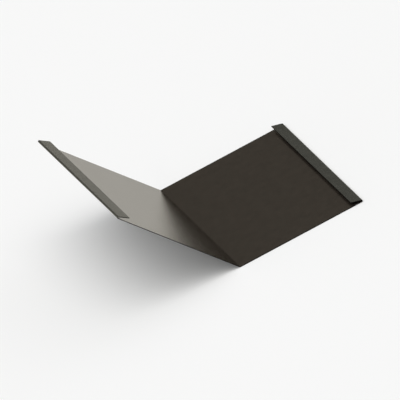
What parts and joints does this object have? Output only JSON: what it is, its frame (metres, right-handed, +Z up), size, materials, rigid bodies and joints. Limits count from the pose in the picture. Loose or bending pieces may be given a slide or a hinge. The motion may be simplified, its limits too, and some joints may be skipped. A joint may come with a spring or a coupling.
{
  "type": "valley flashing",
  "caption": "Dark bronze sheet-metal valley flashing: one sheet folded into a wide V, with an open hook turned back over the trough along each outer edge.",
  "frame": {"origin": "on the underside of the sheet, halfway along the valley, where the fold meets the leg that lies flat; z = 0 is the surface it lies on", "axes": "+Y along the valley (the two ends are alike), +X across the flat leg to its hook, +Z up; the other leg rises from the fold towards -X at 130 degrees to the flat leg"},
  "size_m": [0.458, 0.6096, 0.2162],
  "materials": {
    "valley_flashing": "satin"
  },
  "bodies": {
    "root": {"valley_flashing": "valley_flashing"}
  },
  "joints": []
}
